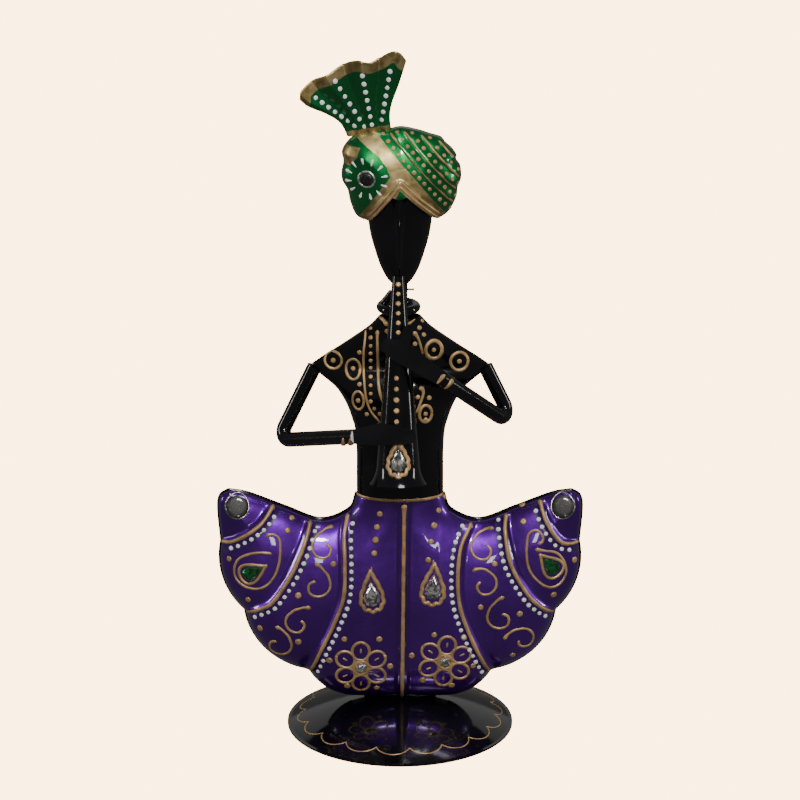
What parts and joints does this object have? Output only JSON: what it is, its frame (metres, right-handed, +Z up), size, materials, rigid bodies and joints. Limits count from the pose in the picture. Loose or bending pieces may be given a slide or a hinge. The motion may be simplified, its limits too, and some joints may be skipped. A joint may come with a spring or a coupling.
{
  "type": "painted sheet-iron musician figurine",
  "caption": "Standing painted sheet-iron figurine of a turbaned shehnai player with a flared skirt on a domed disc base.",
  "frame": {"origin": "centre of the base disc on the floor", "axes": "+Z up, the figure faces -Y, +X is to the right of someone looking at its front"},
  "size_m": [0.1724, 0.108, 0.3296],
  "materials": {
    "black_enamel": "high-gloss black enamel on sheet iron",
    "purple_lacquer": "glossy translucent metallic purple lacquer",
    "green_lacquer": "glossy translucent metallic green lacquer",
    "gold_paint": "semi-matt gold relief paint",
    "white_paint": "glossy white relief paint",
    "mirror_glass": "small silvered glass mirror",
    "clear_glass": "foil-backed clear cut stone",
    "green_glass": "foil-backed green cut stone"
  },
  "bodies": {
    "root": {"base_disc": "black_enamel", "base_weld": "black_enamel", "skirt_front": "purple_lacquer", "skirt_back": "black_enamel", "torso_front": "black_enamel", "torso_back": "black_enamel", "arm_right": "black_enamel", "arm_left": "black_enamel", "neck_rod": "black_enamel", "neck_ring": "black_enamel", "neck_tie": "black_enamel", "head_front": "black_enamel", "head_back": "black_enamel", "turban_front": "green_lacquer", "turban_back": "green_lacquer", "turban_crest": "green_lacquer", "pipe_tube": "black_enamel", "pipe_bell": "black_enamel", "skirt_mirrors": "mirror_glass", "turban_mirror": "mirror_glass", "clear_stones": "clear_glass", "flower_stones": "clear_glass", "pipe_stone": "clear_glass", "green_stones": "green_glass"}
  },
  "joints": []
}
